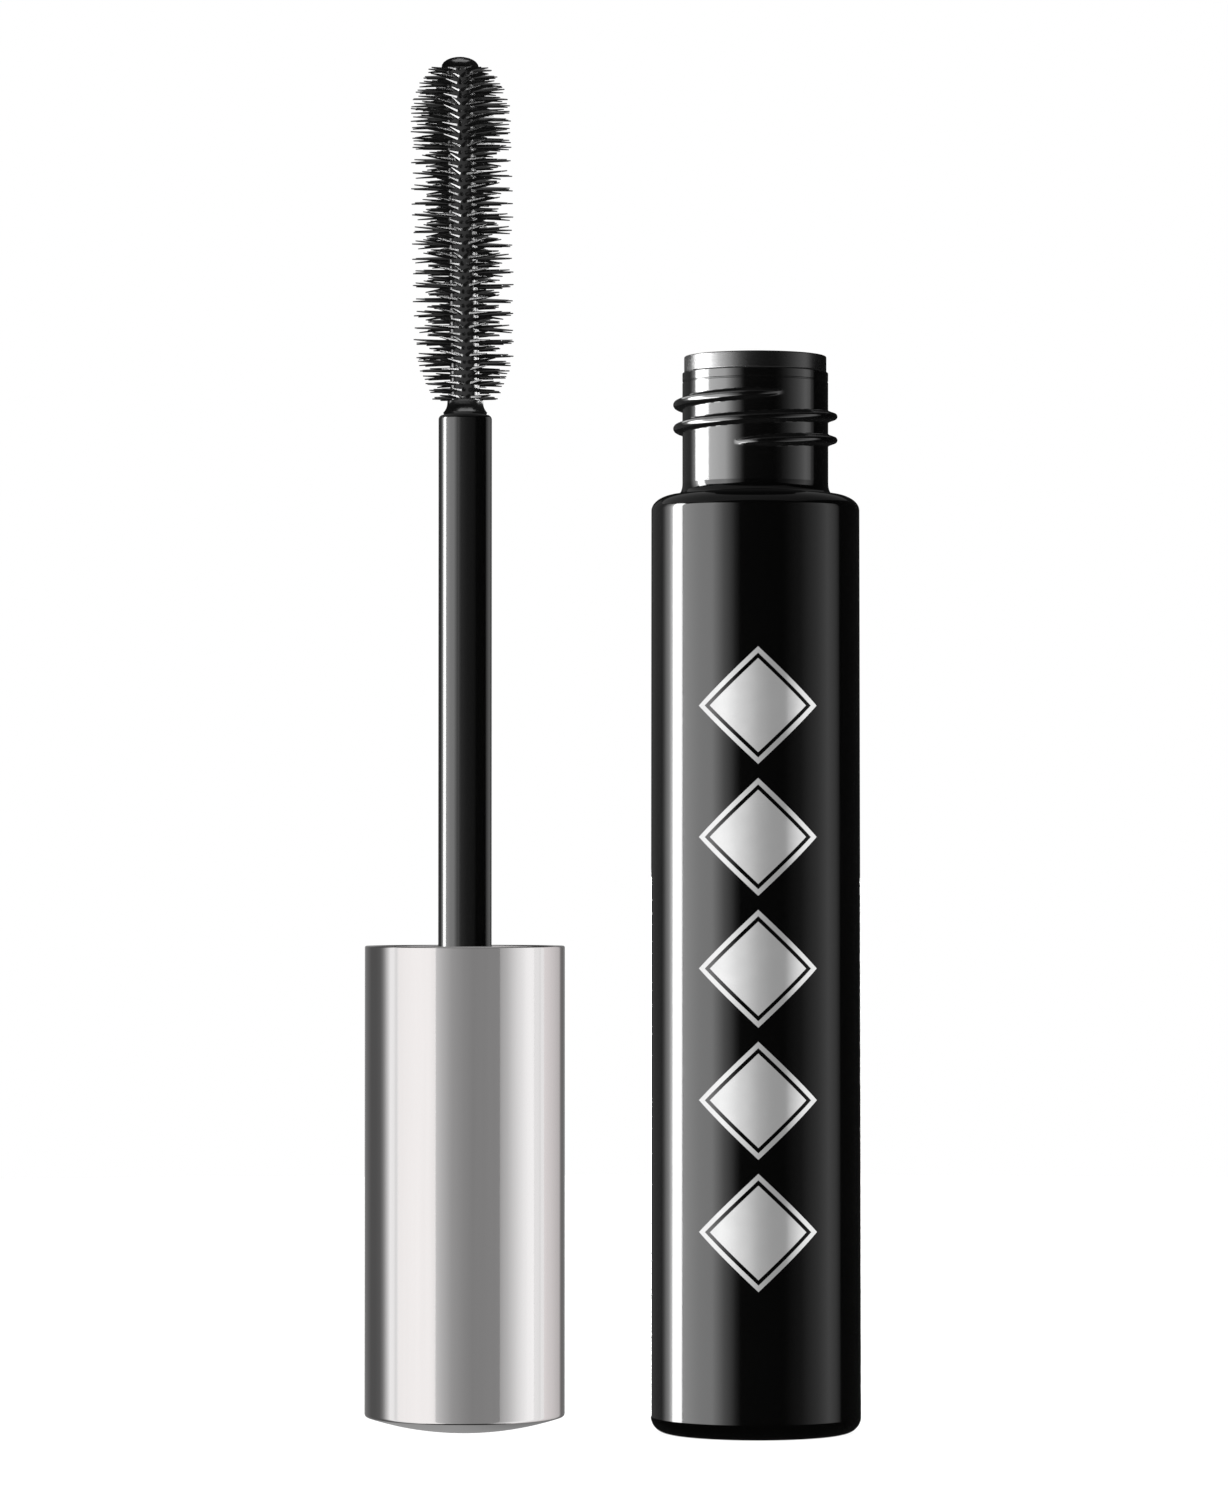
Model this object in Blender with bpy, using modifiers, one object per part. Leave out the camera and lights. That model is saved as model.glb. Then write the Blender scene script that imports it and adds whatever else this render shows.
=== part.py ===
"""Mascara tube: a bottle with its wiper and its fill, and beside it the wand, standing on its cap."""
import math

import bmesh
import bpy

MM = 0.001

# Bottle
BOTTLE_RADIUS = 9.25 * MM
BODY_HEIGHT = 82.7 * MM
BODY_WALL = 2.25 * MM
FLOOR = 2.0 * MM
BASE_ROUND = 1.5 * MM
SHOULDER_ROUND = 1.7 * MM
SHOULDER_THICK = 2.4 * MM
INNER_ROUND = 1.6 * MM
NECK_RADIUS = 6.43 * MM
NECK_HEIGHT = 10.5 * MM
NECK_WALL = 1.23 * MM
NECK_FILLET = 0.45 * MM
RIM_BAND = 0.75 * MM
RIM_LINE_HEIGHT = 0.16 * MM
RIM_LINE_DEPTH = 0.07 * MM

# Thread, right-handed
PITCH = 2.09 * MM
THREAD_HEIGHT = 0.82 * MM
THREAD_BASE = 1.12 * MM
THREAD_CREST = 0.36 * MM
THREAD_RISE = 3.94 * MM
THREAD_FIRST_ANGLE = -104.8
THREAD_WRAP = 754.4
THREAD_FADE = 26.0

# Wiper
FLANGE_DEPTH = 1.4 * MM
FLANGE_INSET = 0.155 * MM
FLANGE_ROUND = 0.15 * MM
WIPER_WALL = 0.7 * MM
SLEEVE_LENGTH = 7.0 * MM
LIP_DROP = 12.2 * MM
LIP_LAND = 0.7 * MM
LIP_WALL = 0.4 * MM
BEAD_DROP = 4.2 * MM
BEAD_HEIGHT = 1.2 * MM
BEAD_DEPTH = 0.18 * MM

# Wand
WAND_SPACING = 25.6 * MM
CAP_LENGTH = 42.7 * MM
CAP_WALL = 0.7 * MM
CAP_END = 0.9 * MM
DOME_RISE = 1.06 * MM
CAP_EDGE_ROUND = 0.3 * MM
CAP_LIP_ROUND = 0.15 * MM
LINER_RECESS = 0.5 * MM
LINER_WALL = 0.6 * MM
LINER_LENGTH = 26.5 * MM
WEB = 1.5 * MM
SOCKET_LENGTH = 10.0 * MM
SOCKET_WALL = 1.45 * MM
RIB_COUNT = 4
RIB_THICK = 0.8 * MM
RIB_INSET = 1.5 * MM
INNER_THREAD_DEPTH = 0.6 * MM
INNER_THREAD_BASE = 0.88 * MM
INNER_THREAD_CREST = 0.3 * MM
INNER_THREAD_WRAP = 600.0
INNER_THREAD_LEAD = 3.0 * MM
SEAL_INSET = 0.18 * MM
SEAL_THICK = 1.0 * MM
ROD_RADIUS = 2.35 * MM
ROD_CHAMFER = 0.25 * MM
ROD_BEAD = 0.22 * MM
ROD_BEAD_HEIGHT = 1.0 * MM
ROD_BEAD_DROP = 2.0 * MM
ROD_BORE = 8.0 * MM

# Brush
SHANK_RADIUS = 1.3 * MM
COLLAR_RADIUS = 1.85 * MM
COLLAR_TOP_RADIUS = 1.65 * MM
COLLAR_HEIGHT = 1.2 * MM
CORE_RADIUS = 1.32 * MM
BRUSH_RADIUS = 4.36 * MM
BRUSH_LENGTH = 29.6 * MM
BRUSH_FOOT_RADIUS = 3.0 * MM
BRUSH_FOOT = 5.0 * MM
BRUSH_HEAD_RADIUS = 2.85 * MM
BRUSH_HEAD = 3.9 * MM
RING_COUNT = 18
RING_ROOT = 0.9 * MM
RING_TIP = 0.4 * MM
TIP_RADIUS = 1.65 * MM
TIP_HEIGHT = 0.9 * MM

# Fill
PASTE_HEIGHT = 58.0 * MM
PASTE_UNDER = 1.3 * MM
PASTE_LIP = 0.8 * MM

# Clearances
TOUCH = 0.05 * MM
LINER_GAP = 0.1 * MM
LIP_CLEARANCE = 0.05 * MM
CHANNEL_CLEARANCE = 0.25 * MM
THREAD_CLEARANCE = 0.15 * MM
THREAD_DRAW = 0.08 * MM
CLOSED_GAP = 0.3 * MM
TIP_CLEARANCE = 2.5 * MM
SEAL_CLEARANCE = 0.1 * MM

ROUND_STEPS = 40
ROD_STEPS = 20
BRUSH_STEPS = 12
ARC_STEPS = 4

# Heights and radii that follow from the sizes above
INNER_RADIUS = BOTTLE_RADIUS - BODY_WALL
BORE_RADIUS = NECK_RADIUS - NECK_WALL
MOUTH_Z = BODY_HEIGHT + NECK_HEIGHT
RIM_Z = MOUTH_Z + TOUCH + FLANGE_DEPTH
THREAD_FIRST_Z = BODY_HEIGHT + THREAD_RISE
SLEEVE_RADIUS = BORE_RADIUS - TOUCH
LIP_RADIUS = ROD_RADIUS + LIP_CLEARANCE
LINER_INNER = NECK_RADIUS + THREAD_HEIGHT + THREAD_CLEARANCE
LINER_OUTER = LINER_INNER + LINER_WALL
CAP_RADIUS = LINER_OUTER + LINER_GAP + CAP_WALL
SEAL_RADIUS = NECK_RADIUS - SEAL_INSET
CLOSED_CAP_Z = BODY_HEIGHT + CLOSED_GAP
SEAL_DEPTH = RIM_Z - CLOSED_CAP_Z
WEB_DEPTH = SEAL_DEPTH + SEAL_THICK + TOUCH
SOCKET_RADIUS = ROD_RADIUS + TOUCH
ROD_FOOT_Z = CAP_LENGTH - WEB_DEPTH - SOCKET_LENGTH
BRUSH_REACH = CLOSED_CAP_Z - FLOOR - TIP_CLEARANCE
BRUSH_FOOT_Z = CAP_LENGTH + BRUSH_REACH - TIP_HEIGHT - BRUSH_LENGTH
ROD_END_Z = BRUSH_FOOT_Z - COLLAR_HEIGHT


def arc(centre_r, centre_z, radius, first, last, steps=ARC_STEPS):
    """Points on an arc in the profile's plane; angles in degrees, 0 outward and 90 up."""
    points = []
    for i in range(steps + 1):
        angle = math.radians(first + (last - first) * i / steps)
        points.append((centre_r + radius * math.cos(angle), centre_z + radius * math.sin(angle)))
    return points


def new_object(name, points, edges, faces, collection):
    mesh = bpy.data.meshes.new(name)
    mesh.from_pydata(points, edges, faces)
    mesh.update()
    obj = bpy.data.objects.new(name, mesh)
    collection.objects.link(obj)
    return obj


def turned(name, profile, collection, steps=ROUND_STEPS, loop=False):
    """A turned solid. The profile runs down the outer side; a loop comes back up inside."""
    points = [(r, 0.0, z) for r, z in profile]
    edges = [(i, i + 1) for i in range(len(points) - 1)]
    if loop:
        edges.append((len(points) - 1, 0))
    obj = new_object(name, points, edges, [], collection)
    screw = obj.modifiers.new("Turn", "SCREW")
    screw.axis = "Z"
    screw.angle = math.tau
    screw.steps = steps
    screw.render_steps = steps
    screw.use_merge_vertices = True
    screw.merge_threshold = 1e-6
    screw.use_normal_calculate = False
    return obj


def ridge(name, root, crest, base_width, crest_width, first, wrap, first_z, collection):
    """A right-handed helical ridge from the root radius to the crest radius, faded at both ends."""
    step = 360.0 / ROUND_STEPS
    count = int(wrap / step)
    half_step = 0.5 * step
    start = math.floor(first / step) * step + half_step
    points = []
    size = 6
    for i in range(count + 1):
        angle = start + i * step
        along = i * step
        fade = min(1.0, along / THREAD_FADE, (count * step - along) / THREAD_FADE)
        height = 0.04 + 0.96 * math.sin(0.5 * math.pi * fade)
        z = first_z + PITCH * (angle - first) / 360.0
        top = root + (crest - root) * height
        near = root + (crest - root) * height * 0.86
        wide = 0.5 * base_width * (0.55 + 0.45 * height)
        narrow = 0.5 * crest_width * (0.55 + 0.45 * height)
        section = [(root, -wide), (near, -narrow), (top, -0.45 * narrow)]
        section += [(top, 0.45 * narrow), (near, narrow), (root, wide)]
        turn = math.radians(angle)
        for r, dz in section:
            points.append((r * math.cos(turn), r * math.sin(turn), z + dz))
    faces = [tuple(range(size)), tuple(count * size + k for k in reversed(range(size)))]
    for i in range(count):
        for k in range(size):
            a = i * size + k
            b = i * size + (k + 1) % size
            faces.append((a, a + size, b + size, b))
    obj = new_object(name, points, [], faces, collection)
    shape = bmesh.new()
    shape.from_mesh(obj.data)
    bmesh.ops.recalc_face_normals(shape, faces=shape.faces)
    shape.to_mesh(obj.data)
    shape.free()
    return obj


def combine(obj, other, operation):
    boolean = obj.modifiers.new(other.name, "BOOLEAN")
    boolean.operation = operation
    boolean.solver = "EXACT"
    boolean.object = other


def material(name, color, roughness, metallic=0.0, coat=0.0):
    made = bpy.data.materials.new(name)
    made.use_nodes = True
    shader = made.node_tree.nodes["Principled BSDF"]
    shader.inputs["Base Color"].default_value = (*color, 1.0)
    shader.inputs["Roughness"].default_value = roughness
    shader.inputs["Metallic"].default_value = metallic
    shader.inputs["Coat Weight"].default_value = coat
    made.diffuse_color = (*color, 1.0)
    return made


def bead(radius, depth, top, height):
    """A rounded bead out of this radius, from its top down; with a depth below zero it is a groove."""
    return [
        (radius, top),
        (radius + depth, top - 0.3 * height),
        (radius + depth, top - 0.7 * height),
        (radius, top - height),
    ]


def bottle_profile():
    """From the floor's centre up the inside, over the mouth, down the outside to the base's centre."""
    inner_top = BODY_HEIGHT - SHOULDER_THICK
    slope = INNER_RADIUS - BORE_RADIUS
    bead_top = MOUTH_Z - BEAD_DROP + TOUCH
    shoulder_round = min(SHOULDER_ROUND, 0.75 * (BOTTLE_RADIUS - NECK_RADIUS - NECK_FILLET))
    round_r = BOTTLE_RADIUS - shoulder_round
    base_r = BOTTLE_RADIUS - BASE_ROUND
    points = [(0.0, FLOOR)]
    points += arc(INNER_RADIUS - INNER_ROUND, FLOOR + INNER_ROUND, INNER_ROUND, -90, 0)
    points += [(INNER_RADIUS, inner_top - slope), (BORE_RADIUS, inner_top)]
    points += reversed(bead(BORE_RADIUS, BEAD_DEPTH, bead_top, BEAD_HEIGHT + 2 * TOUCH))
    points += [(BORE_RADIUS, MOUTH_Z), (NECK_RADIUS, MOUTH_Z)]
    points += bead(NECK_RADIUS, -RIM_LINE_DEPTH, MOUTH_Z - RIM_BAND, RIM_LINE_HEIGHT)
    points += arc(NECK_RADIUS + NECK_FILLET, BODY_HEIGHT + NECK_FILLET, NECK_FILLET, 180, 270, 3)
    points += arc(round_r, BODY_HEIGHT - shoulder_round, shoulder_round, 90, 0, 5)
    points += arc(base_r, BASE_ROUND, BASE_ROUND, 0, -90)
    points += [(0.0, 0.0)]
    return points


def make_bottle(collection, helpers):
    obj = turned("bottle", bottle_profile(), collection)
    thread = ridge(
        "bottle_thread", NECK_RADIUS - 0.35 * NECK_WALL, NECK_RADIUS + THREAD_HEIGHT,
        THREAD_BASE, THREAD_CREST, THREAD_FIRST_ANGLE, THREAD_WRAP, THREAD_FIRST_Z, helpers)
    combine(obj, thread, "UNION")
    return obj


def make_wiper(collection):
    radius = NECK_RADIUS - FLANGE_INSET
    flange_under = MOUTH_Z + TOUCH
    sleeve_end = MOUTH_Z - SLEEVE_LENGTH
    lip_end = MOUTH_Z - LIP_DROP
    inner = SLEEVE_RADIUS - WIPER_WALL
    entry = arc(inner + FLANGE_DEPTH * 0.5, RIM_Z - FLANGE_DEPTH * 0.5, FLANGE_DEPTH * 0.5, 180, 90, 3)
    profile = arc(radius - FLANGE_ROUND, RIM_Z - FLANGE_ROUND, FLANGE_ROUND, 90, 0, 2)
    profile += [(radius, flange_under), (SLEEVE_RADIUS, flange_under)]
    profile += bead(SLEEVE_RADIUS, BEAD_DEPTH, MOUTH_Z - BEAD_DROP, BEAD_HEIGHT)
    profile += [(SLEEVE_RADIUS, sleeve_end), (LIP_RADIUS + LIP_WALL, lip_end + LIP_LAND)]
    profile += [(LIP_RADIUS + LIP_WALL, lip_end), (LIP_RADIUS, lip_end)]
    profile += [(LIP_RADIUS, lip_end + LIP_LAND + LIP_WALL), (inner, sleeve_end + 0.5 * WIPER_WALL)]
    profile += entry
    return turned("wiper", profile, collection, loop=True)


def make_paste(collection):
    top = FLOOR + PASTE_HEIGHT
    outer = INNER_RADIUS - TOUCH
    channel = BRUSH_RADIUS + CHANNEL_CLEARANCE
    channel_floor = FLOOR + PASTE_UNDER
    lip = min(PASTE_LIP, 0.4 * (outer - channel))
    profile = [(0.0, channel_floor)]
    profile += [(channel - lip, channel_floor), (channel, channel_floor + lip)]
    profile += [(channel, top - lip), (channel + lip, top), (outer, top + 0.5 * lip)]
    profile += arc(outer - INNER_ROUND, FLOOR + TOUCH + INNER_ROUND, INNER_ROUND, 0, -90)
    profile += [(0.0, FLOOR + TOUCH)]
    return turned("mascara_paste", profile, collection)


def dome(radius, rise, steps=6):
    """Points from the dome's lowest point, at height 0, out to its edge at height rise."""
    ball = (radius * radius + rise * rise) / (2 * rise)
    points = []
    for i in range(steps + 1):
        r = radius * i / steps
        points.append((r, ball - math.sqrt(ball * ball - r * r)))
    return points


def make_cap_shell(collection):
    inner = CAP_RADIUS - CAP_WALL
    floor_z = DOME_RISE + CAP_END
    under = dome(CAP_RADIUS - CAP_EDGE_ROUND, DOME_RISE)
    edge = arc(CAP_RADIUS - CAP_EDGE_ROUND, DOME_RISE + CAP_EDGE_ROUND, CAP_EDGE_ROUND, 0, -90, 2)
    lip = arc(inner + CAP_LIP_ROUND, CAP_LENGTH - CAP_LIP_ROUND, CAP_LIP_ROUND, 180, 90, 2)
    lip += arc(CAP_RADIUS - CAP_LIP_ROUND, CAP_LENGTH - CAP_LIP_ROUND, CAP_LIP_ROUND, 90, 0, 2)
    profile = [(0.0, floor_z), (inner - CAP_EDGE_ROUND, floor_z), (inner, floor_z + CAP_EDGE_ROUND)]
    profile += lip + edge + list(reversed(under[:-1]))
    return turned("cap_shell", profile, collection)


def make_cap_liner(collection, helpers):
    top = CAP_LENGTH - LINER_RECESS
    web_top = CAP_LENGTH - WEB_DEPTH
    web_under = web_top - WEB
    skirt_end = CAP_LENGTH - LINER_LENGTH
    socket_end = ROD_FOOT_Z - TOUCH
    boss = SOCKET_RADIUS + SOCKET_WALL
    bead_top = web_under - ROD_BEAD_DROP + TOUCH
    profile = [(LINER_INNER, top), (LINER_OUTER, top), (LINER_OUTER, skirt_end)]
    profile += [(LINER_INNER, skirt_end), (LINER_INNER, web_under), (boss, web_under)]
    profile += [(boss, socket_end - WEB), (0.0, socket_end - WEB)]
    cavity = [(0.0, socket_end), (SOCKET_RADIUS, socket_end)]
    cavity += reversed(bead(SOCKET_RADIUS, ROD_BEAD, bead_top, ROD_BEAD_HEIGHT + 2 * TOUCH))
    cavity += [(SOCKET_RADIUS, web_top - 0.25 * WEB), (SOCKET_RADIUS + 0.25 * WEB, web_top)]
    cavity += [(LINER_INNER, web_top)]
    obj = turned("cap_liner", cavity + profile, collection)
    rib_low = skirt_end + RIB_INSET
    rib_high = web_under + 0.4 * WEB
    rib_near = boss - 0.3 * SOCKET_WALL
    rib_far = LINER_INNER + 0.5 * LINER_WALL
    for i in range(RIB_COUNT):
        turn = math.tau * (i + 0.5) / RIB_COUNT
        rib = block(f"liner_rib_{i}", (rib_far - rib_near, RIB_THICK, rib_high - rib_low), helpers)
        middle = 0.5 * (rib_near + rib_far)
        rib.rotation_euler[2] = turn
        rib.location = (middle * math.cos(turn), middle * math.sin(turn), 0.5 * (rib_high + rib_low))
        combine(obj, rib, "UNION")
    # The inner thread is laid out in the closed tube, half a pitch off the neck's thread, and
    # then turned over with the wand, which keeps it right-handed.
    low_z = CLOSED_CAP_Z + INNER_THREAD_LEAD
    high_z = low_z + PITCH * INNER_THREAD_WRAP / 360.0
    beside_z = THREAD_FIRST_Z + 0.5 * PITCH + THREAD_DRAW
    high_angle = THREAD_FIRST_ANGLE + 360.0 * (high_z - beside_z) / PITCH
    thread = ridge(
        "liner_thread", LINER_INNER + 0.5 * LINER_WALL, LINER_INNER - INNER_THREAD_DEPTH,
        INNER_THREAD_BASE, INNER_THREAD_CREST, 180.0 - high_angle, INNER_THREAD_WRAP,
        CLOSED_CAP_Z + CAP_LENGTH - high_z, helpers)
    combine(obj, thread, "UNION")
    return obj


def block(name, size, collection):
    mesh = bpy.data.meshes.new(name)
    shape = bmesh.new()
    bmesh.ops.create_cube(shape, size=1.0)
    bmesh.ops.scale(shape, vec=size, verts=shape.verts)
    shape.to_mesh(mesh)
    shape.free()
    obj = bpy.data.objects.new(name, mesh)
    collection.objects.link(obj)
    return obj


def make_cap_seal(collection):
    low = CAP_LENGTH - SEAL_DEPTH - SEAL_THICK
    inner = ROD_RADIUS + SEAL_CLEARANCE
    profile = [(inner, low + SEAL_THICK), (SEAL_RADIUS, low + SEAL_THICK), (SEAL_RADIUS, low), (inner, low)]
    return turned("cap_seal", profile, collection, loop=True)


def make_rod(collection):
    web_under = CAP_LENGTH - WEB_DEPTH - WEB
    bore = SHANK_RADIUS + TOUCH
    profile = [(0.0, ROD_END_Z - ROD_BORE), (bore, ROD_END_Z - ROD_BORE), (bore, ROD_END_Z)]
    profile += [(ROD_RADIUS - ROD_CHAMFER, ROD_END_Z), (ROD_RADIUS, ROD_END_Z - ROD_CHAMFER)]
    profile += bead(ROD_RADIUS, ROD_BEAD, web_under - ROD_BEAD_DROP, ROD_BEAD_HEIGHT)
    profile += [(ROD_RADIUS, ROD_FOOT_Z + ROD_CHAMFER), (ROD_RADIUS - ROD_CHAMFER, ROD_FOOT_Z)]
    profile += [(0.0, ROD_FOOT_Z)]
    return turned("rod", profile, collection, steps=ROD_STEPS)


def brush_radius(along):
    """Reach of the bristles at this distance from the first ring."""
    from_top = BRUSH_LENGTH - along
    if along < BRUSH_FOOT:
        share = math.sin(0.5 * math.pi * along / BRUSH_FOOT)
        return BRUSH_FOOT_RADIUS + (BRUSH_RADIUS - BRUSH_FOOT_RADIUS) * share
    if from_top < BRUSH_HEAD:
        share = math.sin(0.5 * math.pi * from_top / BRUSH_HEAD)
        return BRUSH_HEAD_RADIUS + (BRUSH_RADIUS - BRUSH_HEAD_RADIUS) * share
    return BRUSH_RADIUS


def make_brush(collection):
    profile = []
    tip_z = BRUSH_FOOT_Z + BRUSH_LENGTH
    for r, z in arc(0.0, 0.0, 1.0, 90, 0, 3):
        profile.append((r * TIP_RADIUS, tip_z + z * TIP_HEIGHT))
    profile[0] = (0.0, tip_z + TIP_HEIGHT)
    profile.append((CORE_RADIUS, tip_z - 0.1 * TIP_HEIGHT))
    pitch = (BRUSH_LENGTH - RING_ROOT) / (RING_COUNT - 1)
    for i in reversed(range(RING_COUNT)):
        along = 0.5 * RING_ROOT + i * pitch
        z = BRUSH_FOOT_Z + along
        reach = brush_radius(along)
        if i < RING_COUNT - 1:
            profile.append((CORE_RADIUS, z + 0.5 * RING_ROOT))
        profile.append((reach, z + 0.5 * RING_TIP))
        profile.append((reach, z - 0.5 * RING_TIP))
        profile.append((CORE_RADIUS, z - 0.5 * RING_ROOT))
    shank_end = ROD_END_Z - ROD_BORE + TOUCH
    profile += [(COLLAR_TOP_RADIUS, BRUSH_FOOT_Z - 0.1 * COLLAR_HEIGHT)]
    profile += [(COLLAR_RADIUS, ROD_END_Z + TOUCH), (SHANK_RADIUS, ROD_END_Z + TOUCH)]
    profile += [(SHANK_RADIUS, shank_end), (0.0, shank_end)]
    return turned("brush", profile, collection, steps=BRUSH_STEPS)


def finish_smooth(obj, angle):
    """Rounds shade smooth and edges over the angle stay crisp."""
    graph = bpy.context.evaluated_depsgraph_get()
    mesh = bpy.data.meshes.new_from_object(obj.evaluated_get(graph), depsgraph=graph)
    obj.modifiers.clear()
    obj.data = mesh
    mesh.shade_smooth()
    mesh.set_sharp_from_angle(angle=math.radians(angle))


def main():
    for obj in list(bpy.data.objects):
        bpy.data.objects.remove(obj, do_unlink=True)
    scene = bpy.context.scene
    shown = bpy.data.collections.new("mascara_tube")
    helpers = bpy.data.collections.new("cutters")
    scene.collection.children.link(shown)
    scene.collection.children.link(helpers)

    looks = {
        "bottle": material("gloss_black_plastic", (0.012, 0.012, 0.013), 0.08, coat=0.5),
        "wiper": material("wiper_polymer", (0.02, 0.02, 0.021), 0.22),
        "mascara_paste": material("mascara_paste", (0.006, 0.005, 0.005), 0.3),
        "cap_shell": material("polished_aluminium", (0.9, 0.89, 0.89), 0.08, metallic=1.0),
        "cap_liner": material("liner_polymer", (0.75, 0.75, 0.73), 0.45),
        "cap_seal": material("seal_foam", (0.8, 0.8, 0.78), 0.7),
        "rod": material("gloss_black_rod", (0.014, 0.014, 0.015), 0.12, coat=0.4),
        "brush": material("brush_elastomer", (0.02, 0.02, 0.02), 0.35),
    }

    wand = bpy.data.objects.new("wand_axis", None)
    wand.location = (-WAND_SPACING, 0.0, 0.0)
    shown.objects.link(wand)

    still = [make_bottle(shown, helpers), make_wiper(shown), make_paste(shown)]
    moving = [
        make_cap_shell(shown), make_cap_liner(shown, helpers), make_cap_seal(shown),
        make_rod(shown), make_brush(shown)]

    for obj in helpers.objects:
        obj.hide_render = True
        obj.display_type = "WIRE"
    bpy.context.view_layer.update()
    for obj in still + moving:
        finish_smooth(obj, 40)
        obj.data.materials.clear()
        obj.data.materials.append(looks[obj.name])
    for obj in moving:
        obj.parent = wand
    bpy.context.view_layer.update()


main()
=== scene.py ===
"""Visual model of a mascara tube: the filled bottle, and beside it the wand, standing on its cap."""

import math

import bmesh
import bpy
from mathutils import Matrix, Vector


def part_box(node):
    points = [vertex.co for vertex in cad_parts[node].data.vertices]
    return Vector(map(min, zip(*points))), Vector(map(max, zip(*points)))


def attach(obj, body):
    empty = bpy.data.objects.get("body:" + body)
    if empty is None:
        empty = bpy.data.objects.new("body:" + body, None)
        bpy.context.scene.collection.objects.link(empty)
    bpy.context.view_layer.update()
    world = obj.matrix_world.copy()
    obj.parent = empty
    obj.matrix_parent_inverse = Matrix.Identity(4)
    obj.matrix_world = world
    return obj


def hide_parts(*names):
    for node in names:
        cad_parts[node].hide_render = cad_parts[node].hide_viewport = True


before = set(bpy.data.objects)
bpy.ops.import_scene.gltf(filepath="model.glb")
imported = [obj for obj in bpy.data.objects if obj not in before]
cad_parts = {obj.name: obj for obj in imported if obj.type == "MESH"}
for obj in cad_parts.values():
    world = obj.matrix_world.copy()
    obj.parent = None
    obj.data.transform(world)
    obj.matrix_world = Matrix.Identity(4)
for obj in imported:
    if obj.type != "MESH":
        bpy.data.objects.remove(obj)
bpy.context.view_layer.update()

MM = 0.001
# Points round a turned piece: in general, round the wide glossy ones, the small ones and the brush
STEPS = 160
STEPS_LARGE = 192
STEPS_SMALL = 96
STEPS_BRUSH = 36
# Extra points stand this far from each end of a long line, in millimetres
SUPPORT = 0.05
# Edges that turn by more degrees than this stay sharp
SHARP_ANGLE = 38


def box(node):
    """Lowest and highest corner of a CAD node in millimetres."""
    return [[value / MM for value in corner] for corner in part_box(node)]


# Anchors from the CAD, in millimetres
BOTTLE_LOW, BOTTLE_HIGH = box("bottle")
CAP_LOW, CAP_HIGH = box("cap_shell")
ROD_LOW, ROD_HIGH = box("rod")
BRUSH_HIGH = box("brush")[1]
SEAL_LOW, SEAL_HIGH = box("cap_seal")
PASTE_LOW, PASTE_HIGH = box("mascara_paste")
BOTTLE_RADIUS = 0.5 * (BOTTLE_HIGH[0] - BOTTLE_LOW[0])
MOUTH_Z = BOTTLE_HIGH[2]
WAND_X = 0.5 * (CAP_LOW[0] + CAP_HIGH[0])
CAP_RADIUS = 0.5 * (CAP_HIGH[0] - CAP_LOW[0])
CAP_TOP = CAP_HIGH[2]

# Bottle
NECK_HEIGHT = 10.5
BODY_TOP = MOUTH_Z - NECK_HEIGHT
BODY_DRAFT = 0.08
BODY_INNER = 7.0
FLOOR_THICK = 2.0
INNER_ROUND = 1.6
SHOULDER_TOP = BODY_TOP - 0.25
SHOULDER_ROUND = 1.42
SHOULDER_REACH = 2.3
SHOULDER_THICK = 2.4
BASE_ROUND = 1.4
PUSH_UP = 0.35
PUSH_UP_RADIUS = 6.4
NECK_RADIUS = 6.43
NECK_BORE = 5.2
NECK_FLARE = 0.45
NECK_FILLET = 1.0
NECK_ROOT_Z = SHOULDER_TOP + NECK_FILLET
NECK_TONGUE = 0.5
NECK_TONGUE_INSET = 0.1
GATE_RADIUS = 0.6
GATE_SLOPE = 0.1
GATE_Z = 0.6 * PUSH_UP
RIM_ROUND = 0.08
RIM_LINE_TOP = MOUTH_Z - 0.75
RIM_LINE_HEIGHT = 0.16
RIM_LINE_DEPTH = 0.07

# Thread
PITCH = 2.09
THREAD_HEIGHT = 0.82
THREAD_HALF_BASE = 0.57
THREAD_HALF_CREST = 0.2
THREAD_FIRST_Z = BODY_TOP + 3.94
THREAD_FIRST_ANGLE = -106.8
THREAD_WRAP = 756.4
THREAD_FADE = 26.0
THREAD_END_WIDTH = 0.4
THREAD_CROWN = 0.1
THREAD_ROW = 0.055
THREADED_FROM = BODY_TOP + 2.3
THREAD_MARGIN = 0.1

# Wiper
FLANGE_DEPTH = 1.4
FLANGE_RADIUS = 6.275
FLANGE_ROUND = 0.12
WIPER_INNER = 4.45
WIPER_OUTER = 5.15
WIPER_SLEEVE = 7.0
WIPER_DROP = 12.2
LIP_INNER = 2.4
LIP_OUTER = 2.8
LIP_EDGE = 0.1
LIP_OUTER_HEIGHT = 0.7
LIP_INNER_HEIGHT = 1.1
FUNNEL_RISE = 0.35
FLANGE_UNDER_ROUND = 0.06
TOUCH = 0.05

# Fill, with the channel that the brush leaves
CHANNEL_RADIUS = 4.62
CHANNEL_DEPTH = 1.3
CHANNEL_ROUND = 0.8
CHANNEL_LIP = 0.9
CHANNEL_EDGE = 0.1
FILL_EDGE = 0.4
FILL_EDGE_DROP = 0.25
LUMP_DEPTH = 1.2
LUMP_MARGIN = 0.3
COARSE_LUMP = 0.1
FINE_LUMP = 0.06

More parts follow.
